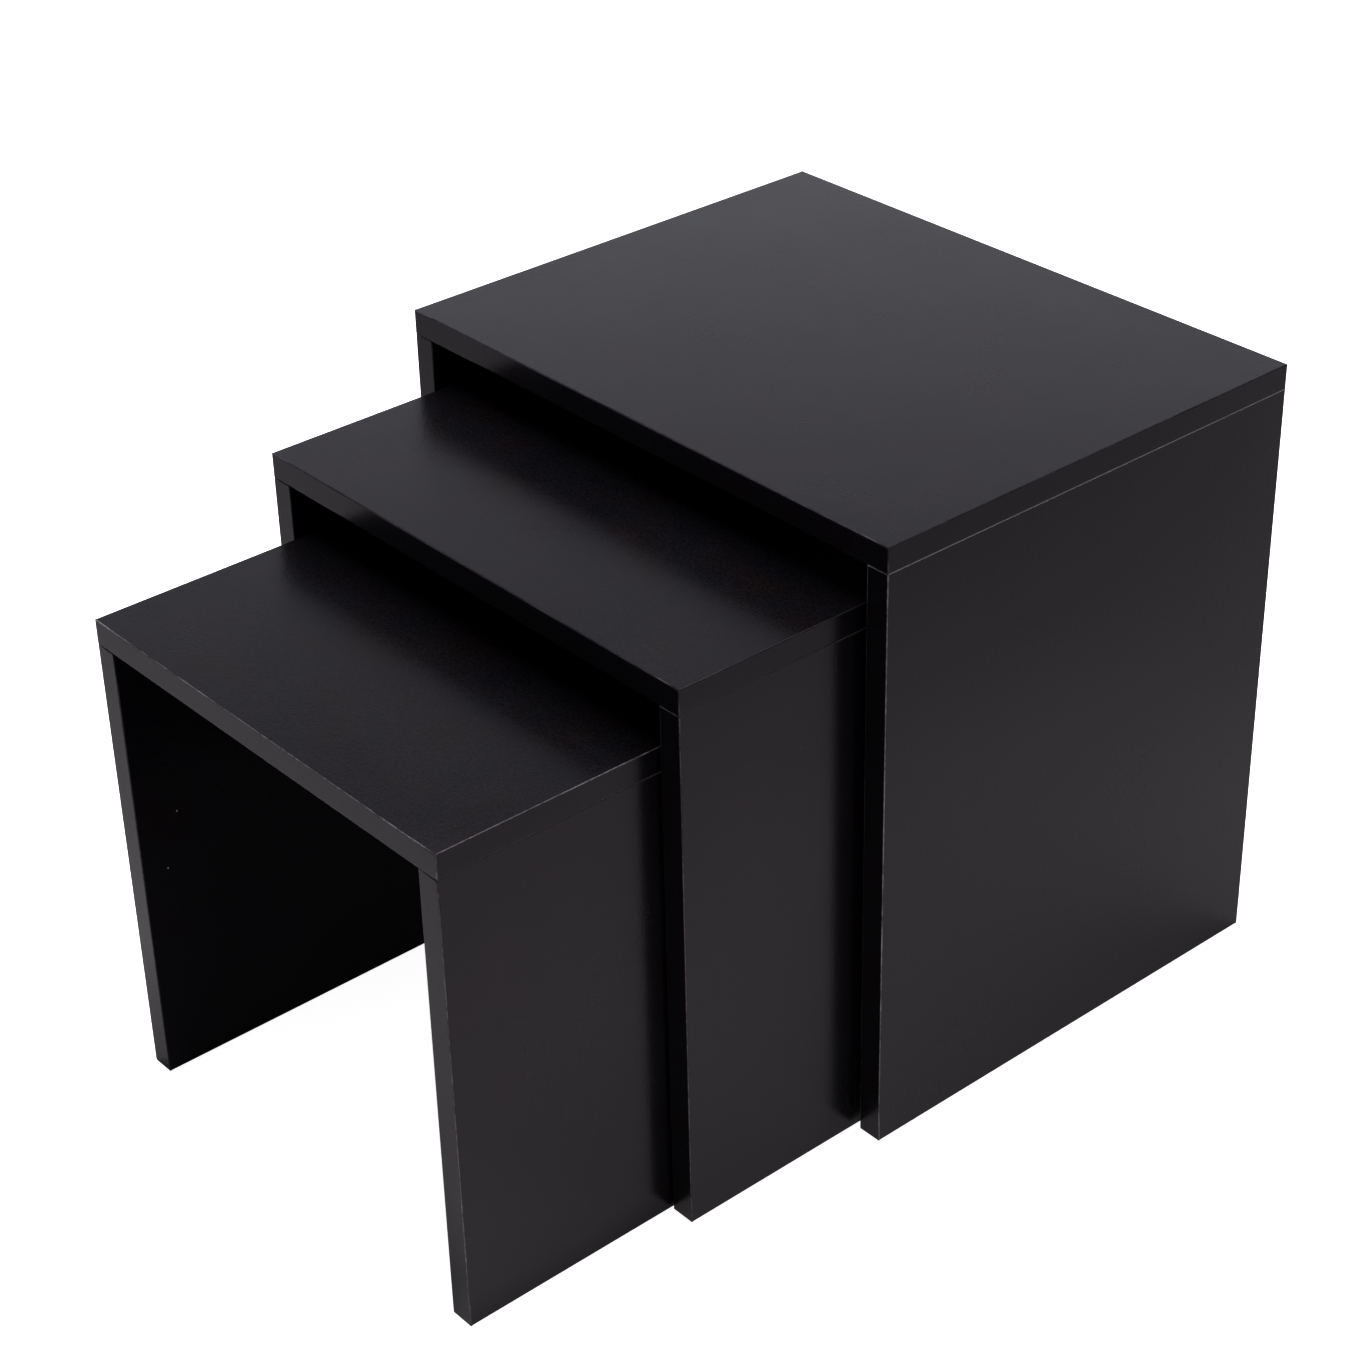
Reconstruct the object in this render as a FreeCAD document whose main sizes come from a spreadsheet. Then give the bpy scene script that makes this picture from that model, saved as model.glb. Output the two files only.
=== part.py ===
import FreeCAD, Part
import os
import Sketcher

# A nest of three tables. Each table is a top board lying on two side boards, edge-banded all round,
# and held together by hidden cam fittings and dowels. The medium table stands inside the large one
# and the small table inside the medium one, both drawn forward in a staircase.
#
# Frame: +Z up, +X to the right, fronts face -Y. The origin is on the floor, at the centre of the
# footprint of the nest as it is set out. All lengths are millimetres.

V = FreeCAD.Vector
doc = FreeCAD.newDocument("NestingTables")

# ---------------------------------------------------------------- driving dimensions
DIMENSIONS = [
    # the nest
    ("large_width", 466, "outer width of the large table"),
    ("large_height", 450, "floor to the upper face of the large table"),
    ("table_depth", 365, "front to back, the same for all three tables"),
    ("side_gap", 9, "free space on each side of a nested table"),
    ("head_gap", 30, "free space above a nested table"),
    ("medium_pull", 145, "front of the medium table ahead of the large one"),
    ("small_pull", 164, "front of the small table ahead of the medium one"),
    ("medium_shift", 4, "medium table to the right of the large one's centre"),
    ("small_shift", 7, "small table to the right of the medium one's centre"),
    # boards and edge bands
    ("board", 18, "thickness of every board"),
    ("band", 1, "thickness of the edge bands"),
    ("band_arris", 0.8, "radius on the outer arrises of the bands"),
    ("end_ease", 0.4, "chamfer on a side board's outer upper arris"),
    # where the fittings sit
    ("cam_inset", 60, "cam and bolt centres from the front and back faces"),
    ("dowel_inset", 28, "dowel centres from the front and back faces"),
    ("cam_drop", 34, "cam centre below the joint"),
    # cam housing
    ("cam_bore", 15, "diameter of the bore for the cam"),
    ("cam_bore_depth", 12.5, "depth of the bore for the cam"),
    ("cam_height", 12, "height of the cam housing"),
    ("cam_play", 0.1, "radial clearance of the cam in its bore"),
    ("drive_length", 8, "length of each arm of the cam's cross recess"),
    ("drive_width", 1.4, "width of the arms of the cross recess"),
    ("drive_depth", 2.2, "depth of the cross recess"),
    # cam bolt
    ("thread", 5, "diameter over the bolt's thread"),
    ("thread_root", 3.6, "diameter at the root of the thread"),
    ("thread_length", 11, "length of the thread in the top board"),
    ("thread_play", 0.05, "radial clearance of the thread in its pilot bore"),
    ("collar", 7, "diameter of the bolt's collar"),
    ("collar_height", 1.5, "height of the collar"),
    ("shank", 4.6, "diameter of the bolt's shank"),
    ("bolt_head", 6.6, "diameter of the bolt's head"),
    ("bolt_head_height", 2.4, "height of the bolt's head"),
    ("bolt_play", 0.3, "clearance around the bolt in the cam and in its bore"),
    # dowel
    ("dowel", 7.8, "diameter of the dowels"),
    ("dowel_play", 0.1, "radial clearance of a dowel in its bore"),
    ("dowel_in_top", 10, "length of a dowel in the top board"),
    ("dowel_in_side", 20, "length of a dowel in the side board"),
    ("dowel_point", 1, "chamfer on the ends of a dowel"),
    ("glue_relief", 1.5, "space left past the lower end of a dowel"),
    # cover cap
    ("cap", 17, "diameter of the cover cap"),
    ("cap_thickness", 1, "thickness of the cap's disc"),
    ("cap_edge", 0.5, "radius on the edge of the disc"),
    ("cap_prong", 1.4, "length of the cap's cross in the cam's recess"),
    ("cap_play", 0.2, "clearance around the cross in the recess"),
]

THREAD_RIDGES = 5  # ridges along the thread of a cam bolt, a count and not a size

sizes = doc.addObject("Spreadsheet::Sheet", "Sizes")
for row, (alias, value, meaning) in enumerate(DIMENSIONS, start=1):
    sizes.set(f"A{row}", alias)
    sizes.set(f"B{row}", str(value))
    sizes.set(f"C{row}", meaning)
    sizes.setAlias(f"B{row}", alias)
doc.recompute()


# ---------------------------------------------------------------- the three tables
def table(name, width, height, centre_x, front_y):
    """The outer sizes and the place of one table, each a formula of the sheet's cells."""
    plan = doc.addObject("App::VarSet", name)
    formulas = {"Width": width, "Height": height, "CentreX": centre_x, "FrontY": front_y}
    for quantity, formula in formulas.items():
        plan.addProperty("App::PropertyFloat", quantity, "Table")
        plan.setExpression(quantity, formula)
    return plan


NEST_STEP = "2 * (Sizes.board + Sizes.side_gap)"
HEAD_STEP = "(Sizes.board + Sizes.head_gap)"
large = table("Large", "Sizes.large_width", "Sizes.large_height", "0",
              "(Sizes.medium_pull + Sizes.small_pull - Sizes.table_depth) / 2")
medium = table("Medium", f"Large.Width - {NEST_STEP}", f"Large.Height - {HEAD_STEP}",
               "Large.CentreX + Sizes.medium_shift", "Large.FrontY - Sizes.medium_pull")
small = table("Small", f"Medium.Width - {NEST_STEP}", f"Medium.Height - {HEAD_STEP}",
              "Medium.CentreX + Sizes.small_shift", "Medium.FrontY - Sizes.small_pull")
doc.recompute()


# ---------------------------------------------------------------- sketches and features
def new_body(label, plan=None):
    """A body whose own frame is the table's: x from its centre, y from its front, z from the floor."""
    body = doc.addObject("PartDesign::Body", label)
    body.Label = label
    if plan:
        body.setExpression(".Placement.Base.x", f"{plan.Name}.CentreX")
        body.setExpression(".Placement.Base.y", f"{plan.Name}.FrontY")
    return body


def new_sketch(body, name, plane, offset):
    """A sketch on one of the body's origin planes, moved by formulas in its own axes."""
    sketch = body.newObject("Sketcher::SketchObject", name)
    support = next(f for f in body.Origin.OriginFeatures if f.Role == plane)
    sketch.AttachmentSupport = (support, [""])
    sketch.MapMode = "FlatFace"
    for axis, formula in zip("xyz", offset):
        sketch.setExpression(f".AttachmentOffset.Base.{axis}", formula)
    return sketch


def drive(sketch, constraint, name, formula):
    """Adds a dimension to a sketch, named and driven by a formula."""
    index = sketch.addConstraint(constraint)
    sketch.renameConstraint(index, name)
    sketch.setExpression(f"Constraints.{name}", formula)


def rectangle(sketch, width, height, centred=False):
    """A rectangle from the sketch's origin towards +x and +y, or centred on it."""
    corners = [V(-9, -9, 0), V(9, -9, 0), V(9, 9, 0), V(-9, 9, 0)]
    first = sketch.GeometryCount
    for start, end in zip(corners, corners[1:] + corners[:1]):
        sketch.addGeometry(Part.LineSegment(start, end), False)
    for side in range(4):
        following = first + (side + 1) % 4
        sketch.addConstraint(Sketcher.Constraint("Coincident", first + side, 2, following, 1))
        direction = "Horizontal" if side % 2 == 0 else "Vertical"
        sketch.addConstraint(Sketcher.Constraint(direction, first + side))
    if centred:
        sketch.addConstraint(Sketcher.Constraint("Symmetric", first, 1, first + 2, 1, -1, 1))
    else:
        sketch.addConstraint(Sketcher.Constraint("Coincident", first, 1, -1, 1))
    drive(sketch, Sketcher.Constraint("DistanceX", first, 1, first, 2, 18), f"width{first}", width)
    drive(sketch, Sketcher.Constraint("DistanceY", first + 1, 1, first + 1, 2, 18), f"height{first}", height)


def circle(sketch, diameter, x="0", y="0"):
    """A circle whose centre is given from the sketch's origin."""
    index = sketch.addGeometry(Part.Circle(V(1, 1, 0), V(0, 0, 1), 3), False)
    drive(sketch, Sketcher.Constraint("DistanceX", -1, 1, index, 3, 1), f"x{index}", x)
    drive(sketch, Sketcher.Constraint("DistanceY", -1, 1, index, 3, 1), f"y{index}", y)
    drive(sketch, Sketcher.Constraint("Diameter", index, 6), f"diameter{index}", diameter)


def outline(sketch, points):
    """A closed outline through points given as formulas from the sketch's origin."""
    first = sketch.GeometryCount
    count = len(points)
    turn = [FreeCAD.Rotation(V(0, 0, 1), 360 * i / count).multVec(V(5, 0, 0)) for i in range(count)]
    for i in range(count):
        sketch.addGeometry(Part.LineSegment(turn[i], turn[(i + 1) % count]), False)
    for i, (x, y) in enumerate(points):
        following = first + (i + 1) % count
        sketch.addConstraint(Sketcher.Constraint("Coincident", first + i, 2, following, 1))
        drive(sketch, Sketcher.Constraint("DistanceX", -1, 1, first + i, 1, 1), f"x{i}", x)
        drive(sketch, Sketcher.Constraint("DistanceY", -1, 1, first + i, 1, 1), f"y{i}", y)


def pad(body, name, sketch, length):
    feature = body.newObject("PartDesign::Pad", name)
    feature.Profile = sketch
    feature.setExpression("Length", length)
    return feature


def pocket(body, name, sketch, length, along_normal=False):
    """Cuts against the sketch's normal, or along it, and makes sure that something was cut."""
    doc.recompute()
    before = body.Shape.Volume
    feature = body.newObject("PartDesign::Pocket", name)
    feature.Profile = sketch
    feature.setExpression("Length", length)
    feature.Reversed = along_normal
    doc.recompute()
    if not body.Shape.Volume < before:
        raise RuntimeError(f"{body.Label}: {name} cuts nothing")
    return feature


def edges_on_face(shape, side, along=None):
    """Names of the edges on the flat face at a side of the shape, such as "YMin", or only of those
    that run along one axis."""
    level = getattr(shape.BoundBox, side)
    found = []
    for number, edge in enumerate(shape.Edges, start=1):
        box = edge.BoundBox
        low, high = getattr(box, side[0] + "Min"), getattr(box, side[0] + "Max")
        on_face = abs(low - level) < 1e-4 and abs(high - level) < 1e-4
        spans = {"X": box.XLength, "Y": box.YLength, "Z": box.ZLength}
        if on_face and (along is None or spans[along] == max(spans.values())):
            found.append(f"Edge{number}")
    return found


def dress(body, kind, name, edges, size):
    """A fillet or chamfer on named edges of the body's last feature."""
    doc.recompute()
    base = body.Tip
    feature = body.newObject(kind, name)
    feature.Base = (base, edges(base.Shape))
    feature.setExpression("Radius" if kind.endswith("Fillet") else "Size", size)
    return feature


# ---------------------------------------------------------------- boards
def insets(plan_inset):
    """Front and back positions of a pair of fittings."""
    return (f"Sizes.{plan_inset}", f"Sizes.table_depth - Sizes.{plan_inset}")


def top_board(plan, prefix):
    body = new_body(f"{prefix}_top_board", plan)
    under = f"{plan.Name}.Height - Sizes.board"
    outline_sketch = new_sketch(body, "TopOutline", "XY_Plane",
                                (f"-{plan.Name}.Width / 2 + Sizes.band", "Sizes.band", under))
    rectangle(outline_sketch, f"{plan.Name}.Width - 2 * Sizes.band", "Sizes.table_depth - 2 * Sizes.band")
    pad(body, "TopPad", outline_sketch, "Sizes.board")
    bores = [("Pilot", "cam_inset", "Sizes.thread + 2 * Sizes.thread_play", "Sizes.thread_length"),
             ("DowelBore", "dowel_inset", "Sizes.dowel + 2 * Sizes.dowel_play", "Sizes.dowel_in_top")]
    for name, inset, diameter, length in bores:
        sketch = new_sketch(body, f"{name}Sketch", "XY_Plane", ("0", "0", under))
        for hand in ("-", ""):
            for y in insets(inset):
                circle(sketch, diameter, f"{hand}({plan.Name}.Width - Sizes.board) / 2", y)
        pocket(body, name, sketch, length, along_normal=True)


def side_board(plan, prefix, hand):
    """A side board: hand is -1 on the left and 1 on the right."""
    side = "left" if hand < 0 else "right"
    body = new_body(f"{prefix}_{side}_side_board", plan)
    upper = f"{plan.Name}.Height - Sizes.board"
    low_x = f"-{plan.Name}.Width / 2" if hand < 0 else f"{plan.Name}.Width / 2 - Sizes.board"
    inner_x = f"{hand} * ({plan.Name}.Width / 2 - Sizes.board)"
    outline_sketch = new_sketch(body, "SideOutline", "YZ_Plane", ("Sizes.band", "Sizes.band", low_x))
    rectangle(outline_sketch, "Sizes.table_depth - 2 * Sizes.band", f"{upper} - Sizes.band")
    pad(body, "SidePad", outline_sketch, "Sizes.board")
    outer_side = "XMin" if hand < 0 else "XMax"
    dress(body, "PartDesign::Chamfer", "EndEase",
          lambda shape: sorted(set(edges_on_face(shape, "ZMax")) & set(edges_on_face(shape, outer_side))),
          "Sizes.end_ease")
    end_bores = [("BoltBore", "cam_inset", "Sizes.collar + 2 * Sizes.bolt_play", "Sizes.cam_drop"),
                 ("DowelBore", "dowel_inset", "Sizes.dowel + 2 * Sizes.dowel_play",
                  "Sizes.dowel_in_side + Sizes.glue_relief")]
    for name, inset, diameter, length in end_bores:
        sketch = new_sketch(body, f"{name}Sketch", "XY_Plane", ("0", "0", upper))
        for y in insets(inset):
            circle(sketch, diameter, f"{hand} * ({plan.Name}.Width - Sizes.board) / 2", y)
        pocket(body, name, sketch, length)
    sketch = new_sketch(body, "CamBoreSketch", "YZ_Plane", ("0", "0", inner_x))
    for y in insets("cam_inset"):
        circle(sketch, "Sizes.cam_bore", y, f"{upper} - Sizes.cam_drop")
    pocket(body, "CamBore", sketch, "Sizes.cam_bore_depth", along_normal=hand > 0)


# ---------------------------------------------------------------- edge bands
def band(label, plan, corner, spans, face, along=None):
    """An edge band: a thin strip with its outer arrises rounded, given by its lowest corner, its
    three lengths and the side of it that shows."""
    body = new_body(label, plan)
    sketch = new_sketch(body, "BandSketch", "XY_Plane", corner)
    rectangle(sketch, spans[0], spans[1])
    pad(body, "BandPad", sketch, spans[2])
    dress(body, "PartDesign::Fillet", "BandArris",
          lambda shape: edges_on_face(shape, face, along), "Sizes.band_arris")


def top_bands(plan, prefix):
    """Left and right bands lie between the front and back ones, which cover their ends."""
    width, under = f"{plan.Name}.Width", f"{plan.Name}.Height - Sizes.board"
    inner_depth = "Sizes.table_depth - 2 * Sizes.band"
    back_y = "Sizes.table_depth - Sizes.band"
    band(f"{prefix}_top_front_band", plan, (f"-{width} / 2", "0", under),
         (width, "Sizes.band", "Sizes.board"), "YMin")
    band(f"{prefix}_top_back_band", plan, (f"-{width} / 2", back_y, under),
         (width, "Sizes.band", "Sizes.board"), "YMax")
    band(f"{prefix}_top_left_band", plan, (f"-{width} / 2", "Sizes.band", under),
         ("Sizes.band", inner_depth, "Sizes.board"), "XMin", along="Y")
    band(f"{prefix}_top_right_band", plan, (f"{width} / 2 - Sizes.band", "Sizes.band", under),
         ("Sizes.band", inner_depth, "Sizes.board"), "XMax", along="Y")


def side_bands(plan, prefix, hand):
    """Front and back bands run from the floor to the joint and cover the ends of the bottom band."""
    label = f"{prefix}_{'left' if hand < 0 else 'right'}_side"
    low_x = f"-{plan.Name}.Width / 2" if hand < 0 else f"{plan.Name}.Width / 2 - Sizes.board"
    upright = ("Sizes.board", "Sizes.band", f"{plan.Name}.Height - Sizes.board")
    band(f"{label}_front_band", plan, (low_x, "0", "0"), upright, "YMin")
    band(f"{label}_back_band", plan, (low_x, "Sizes.table_depth - Sizes.band", "0"), upright, "YMax")
    band(f"{label}_bottom_band", plan, (low_x, "Sizes.band", "0"),
         ("Sizes.board", "Sizes.table_depth - 2 * Sizes.band", "Sizes.band"), "ZMin", along="Y")


# ---------------------------------------------------------------- fittings, one of each at the origin
def cross(sketch, length, width):
    """Two crossing arms, centred, as one closed outline."""
    reach, half = f"({length}) / 2", f"({width}) / 2"
    arm = [(reach, f"-{half}"), (reach, half), (half, half)]
    points = []
    for quarter in range(4):
        for x, y in arm:
            points.append((x, y))
        arm = [(f"-({y})", x) for x, y in arm]
    outline(sketch, points)


def cam_master():
    """Cam housing on +Z: z = 0 seats on the bottom of its bore, and the bolt comes in along +Y."""
    body = new_body("CamMaster")
    bolt_level = "(Sizes.cam_bore_depth - Sizes.board / 2)"
    sketch = new_sketch(body, "CamOutline", "XY_Plane", ("0", "0", "0"))
    circle(sketch, "Sizes.cam_bore - 2 * Sizes.cam_play")
    pad(body, "CamPad", sketch, "Sizes.cam_height")
    sketch = new_sketch(body, "ShankSlotSketch", "XY_Plane", ("-Sizes.shank / 2 - Sizes.bolt_play", "0", "0"))
    rectangle(sketch, "Sizes.shank + 2 * Sizes.bolt_play", "Sizes.cam_bore / 2")
    pocket(body, "ShankSlot", sketch, f"{bolt_level} + Sizes.shank / 2 + Sizes.bolt_play",
           along_normal=True)
    sketch = new_sketch(body, "HeadSlotSketch", "XY_Plane", ("0", "0", "0"))
    rectangle(sketch, "Sizes.bolt_head + 2 * Sizes.bolt_play", "Sizes.bolt_head_height + 2 * Sizes.bolt_play",
              centred=True)
    pocket(body, "HeadSlot", sketch, f"{bolt_level} + Sizes.bolt_head / 2 + Sizes.bolt_play",
           along_normal=True)
    sketch = new_sketch(body, "DriveSketch", "XY_Plane", ("0", "0", "Sizes.cam_height"))
    cross(sketch, "Sizes.drive_length", "Sizes.drive_width")
    pocket(body, "DriveRecess", sketch, "Sizes.drive_depth")
    return body


def bolt_master():
    """Cam bolt on the Z axis: z = 0 is the underside of the top board, the thread points up."""
    body = new_body("BoltMaster")
    sketch = new_sketch(body, "BoltProfile", "XZ_Plane", ("0", "0", "0"))
    head_top = "-Sizes.cam_drop + Sizes.bolt_head_height / 2"
    head_foot = "-Sizes.cam_drop - Sizes.bolt_head_height / 2"
    profile = [
        ("0", head_foot), ("Sizes.bolt_head / 2", head_foot), ("Sizes.bolt_head / 2", head_top),
        ("Sizes.shank / 2", head_top), ("Sizes.shank / 2", "-Sizes.collar_height"),
        ("Sizes.collar / 2", "-Sizes.collar_height"), ("Sizes.collar / 2", "0"),
        ("Sizes.thread_root / 2", "0")]
    for ridge in range(THREAD_RIDGES):
        for radius, share in (("Sizes.thread / 2", ridge + 0.5), ("Sizes.thread_root / 2", ridge + 1)):
            profile.append((radius, f"Sizes.thread_length * {share / THREAD_RIDGES}"))
    profile.append(("0", "Sizes.thread_length"))
    outline(sketch, profile)
    turned = body.newObject("PartDesign::Revolution", "BoltTurned")
    turned.Profile = sketch
    turned.ReferenceAxis = (sketch, ["V_Axis"])
    turned.Angle = 360
    return body


def dowel_master():
    """Dowel on the Z axis: z = 0 is the joint."""
    body = new_body("DowelMaster")
    sketch = new_sketch(body, "DowelOutline", "XY_Plane", ("0", "0", "-Sizes.dowel_in_side"))
    circle(sketch, "Sizes.dowel")
    pad(body, "DowelPad", sketch, "Sizes.dowel_in_side + Sizes.dowel_in_top")
    dress(body, "PartDesign::Chamfer", "DowelPoints",
          lambda shape: edges_on_face(shape, "ZMin") + edges_on_face(shape, "ZMax"), "Sizes.dowel_point")
    return body


def cap_master():
    """Cover cap on +Z: z = 0 is the board's face, and the cross reaches down into the cam."""
    body = new_body("CapMaster")
    sketch = new_sketch(body, "DiscSketch", "XY_Plane", ("0", "0", "0"))
    circle(sketch, "Sizes.cap")
    pad(body, "Disc", sketch, "Sizes.cap_thickness")
    dress(body, "PartDesign::Fillet", "DiscEdge",
          lambda shape: edges_on_face(shape, "ZMax"), "Sizes.cap_edge")
    reach = "(Sizes.cam_bore_depth - Sizes.cam_height + Sizes.cap_prong)"
    sketch = new_sketch(body, "ProngSketch", "XY_Plane", ("0", "0", f"-{reach}"))
    cross(sketch, "Sizes.drive_length - 2 * Sizes.cap_play", "Sizes.drive_width - 2 * Sizes.cap_play")
    pad(body, "Prong", sketch, reach)
    return body


# ---------------------------------------------------------------- fittings placed in the tables
def group(label, plan, master, x, inset, z, turned=False):
    """Four copies of a fitting in one table: x on the right-hand side, mirrored to the left, front
    and back, with its axis along the world's Z or, if turned, pointing at the tunnel."""
    links = []
    for hand in (-1, 1):
        for y in insets(inset):
            link = doc.addObject("App::Link", f"{label}_{len(links)}")
            link.LinkedObject = master
            if turned:
                # local Z looks at the tunnel, local Y looks up
                link.Placement = FreeCAD.Placement(
                    V(0, 0, 0), FreeCAD.Rotation(V(0, hand, 0), V(0, 0, 1), V(-hand, 0, 0), "ZYX"))
            link.setExpression(".Placement.Base.x", f"{hand} * ({x})")
            link.setExpression(".Placement.Base.y", y)
            link.setExpression(".Placement.Base.z", z)
            links.append(link)
    compound = doc.addObject("Part::Compound", label)
    compound.Label = label
    compound.Links = links
    compound.setExpression(".Placement.Base.x", f"{plan.Name}.CentreX")
    compound.setExpression(".Placement.Base.y", f"{plan.Name}.FrontY")


def fittings(plan, prefix, masters):
    joint = f"{plan.Name}.Height - Sizes.board"
    mid_side = f"({plan.Name}.Width - Sizes.board) / 2"
    inner_face = f"{plan.Name}.Width / 2 - Sizes.board"
    group(f"{prefix}_cam_housings", plan, masters["cam"], f"{inner_face} + Sizes.cam_bore_depth",
          "cam_inset", f"{joint} - Sizes.cam_drop", turned=True)
    group(f"{prefix}_cam_bolts", plan, masters["bolt"], mid_side, "cam_inset", joint)
    group(f"{prefix}_dowels", plan, masters["dowel"], mid_side, "dowel_inset", joint)
    group(f"{prefix}_cam_caps", plan, masters["cap"], inner_face, "cam_inset",
          f"{joint} - Sizes.cam_drop", turned=True)


masters = {"cam": cam_master(), "bolt": bolt_master(), "dowel": dowel_master(), "cap": cap_master()}
for plan, prefix in ((large, "large"), (medium, "medium"), (small, "small")):
    top_board(plan, prefix)
    top_bands(plan, prefix)
    for hand in (-1, 1):
        side_board(plan, prefix, hand)
        side_bands(plan, prefix, hand)
    fittings(plan, prefix, masters)
doc.recompute()

# ---------------------------------------------------------------- check and write
for item in doc.Objects:
    if "Invalid" in item.State or "Error" in item.State:
        raise RuntimeError(f"{item.Label} did not recompute: {item.State}")

pieces = [item for item in doc.Objects
          if item.TypeId in ("PartDesign::Body", "Part::Compound") and item not in masters.values()]
for piece in pieces:
    if piece.Shape.isNull() or not piece.Shape.isValid():
        raise RuntimeError(f"{piece.Label} has no valid shape")

os.makedirs("parts", exist_ok=True)
for piece in pieces:
    piece.Shape.exportStep(os.path.join("parts", f"{piece.Label}.step"))
print(f"{len(pieces)} sub-parts written, {sum(len(piece.Shape.Solids) for piece in pieces)} solids")
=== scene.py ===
import math

import bpy
from mathutils import Matrix, Vector


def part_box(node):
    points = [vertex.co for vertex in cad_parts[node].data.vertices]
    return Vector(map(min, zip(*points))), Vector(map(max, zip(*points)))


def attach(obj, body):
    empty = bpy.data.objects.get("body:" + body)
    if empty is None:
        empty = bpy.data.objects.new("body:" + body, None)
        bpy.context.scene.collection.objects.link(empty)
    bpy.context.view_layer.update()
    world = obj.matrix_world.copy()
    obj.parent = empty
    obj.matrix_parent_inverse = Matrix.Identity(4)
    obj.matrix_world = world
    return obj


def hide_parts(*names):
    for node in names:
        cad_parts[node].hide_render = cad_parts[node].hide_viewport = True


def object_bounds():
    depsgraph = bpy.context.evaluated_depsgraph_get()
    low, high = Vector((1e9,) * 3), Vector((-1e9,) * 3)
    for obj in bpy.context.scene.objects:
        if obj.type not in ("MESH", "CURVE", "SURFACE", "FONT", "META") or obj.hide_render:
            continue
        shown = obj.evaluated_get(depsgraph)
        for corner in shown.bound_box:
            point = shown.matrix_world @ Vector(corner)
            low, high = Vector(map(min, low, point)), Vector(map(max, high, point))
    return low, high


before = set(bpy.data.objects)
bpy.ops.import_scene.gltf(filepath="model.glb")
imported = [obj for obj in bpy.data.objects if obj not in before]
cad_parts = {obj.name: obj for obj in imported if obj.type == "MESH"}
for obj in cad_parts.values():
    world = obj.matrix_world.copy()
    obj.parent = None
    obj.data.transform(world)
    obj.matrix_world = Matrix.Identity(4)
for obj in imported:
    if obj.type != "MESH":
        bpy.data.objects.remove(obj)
cadBox = [list(corner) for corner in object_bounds()]
print("frame loaded:", len(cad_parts), "parts of the nest")

tables = ["large", "medium", "small"]


# a node with its settings and inputs: a socket is wired in, anything else becomes the value
def addNode(tree, kind, inputs=None, **settings):
    made = tree.nodes.new(kind)
    for name, value in settings.items():
        setattr(made, name, value)
    for key, value in (inputs or {}).items():
        if isinstance(value, bpy.types.NodeSocket):
            tree.links.new(value, made.inputs[key])
        else:
            made.inputs[key].default_value = value
    return made


def calc(tree, operation, first, second=0.0, third=0.0):
    return addNode(tree, "ShaderNodeMath", {0: first, 1: second, 2: third}, operation=operation).outputs[0]


def newMaterial(name, colour, metallic=0.0):
    material = bpy.data.materials.new(name)
    material.use_nodes = True
    material.diffuse_color = (*colour, 1.0)
    tree = material.node_tree
    shader = tree.nodes["Principled BSDF"]
    shader.inputs["Metallic"].default_value = metallic
    place = addNode(tree, "ShaderNodeTexCoord")
    return material, tree, shader, place


# grey noise of a given size in metres, stretched along each axis; shift slides it to another stretch of noise
def mottle(tree, place, size, detail=2.0, roughness=0.5, stretch=(1, 1, 1), shift=0.0):
    mapped = addNode(tree, "ShaderNodeMapping", {
        "Vector": place.outputs["Object"],
        "Location": (shift, shift * 0.7, shift * 1.3),
        "Scale": tuple(1 / (size * part) for part in stretch)})
    noise = addNode(tree, "ShaderNodeTexNoise", {
        "Vector": mapped.outputs[0], "Scale": 1.0, "Detail": detail, "Roughness": roughness})
    return noise.outputs["Fac"]


# takes a value from one span to another and holds it there
def spread(tree, value, low, high, toLow=0.0, toHigh=1.0):
    return addNode(tree, "ShaderNodeMapRange", {
        "Value": value, "From Min": low, "From Max": high, "To Min": toLow, "To Max": toHigh}).outputs[0]


def blendColour(tree, factor, first, second, mode="MIX"):
    mixed = addNode(tree, "ShaderNodeMix", {0: factor, 6: first, 7: second},
                    data_type="RGBA", blend_type=mode)
    return mixed.outputs[2]


def roughen(tree, shader, height, depth, strength=1.0):
    bump = addNode(tree, "ShaderNodeBump", {"Height": height, "Distance": depth, "Strength": strength})
    tree.links.new(bump.outputs[0], shader.inputs["Normal"])


# 1 on anything eased or rounded, 0 on the flat faces: every flat face of the nest is square to an axis
def arrisMask(tree, place, flatAbove=0.985, roundedBelow=0.93):
    parts = addNode(tree, "ShaderNodeSeparateXYZ", {0: place.outputs["Normal"]})
    sizes = [calc(tree, "ABSOLUTE", part) for part in parts.outputs]
    most = calc(tree, "MAXIMUM", calc(tree, "MAXIMUM", sizes[0], sizes[1]), sizes[2])
    return spread(tree, most, flatAbove, roundedBelow)


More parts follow.
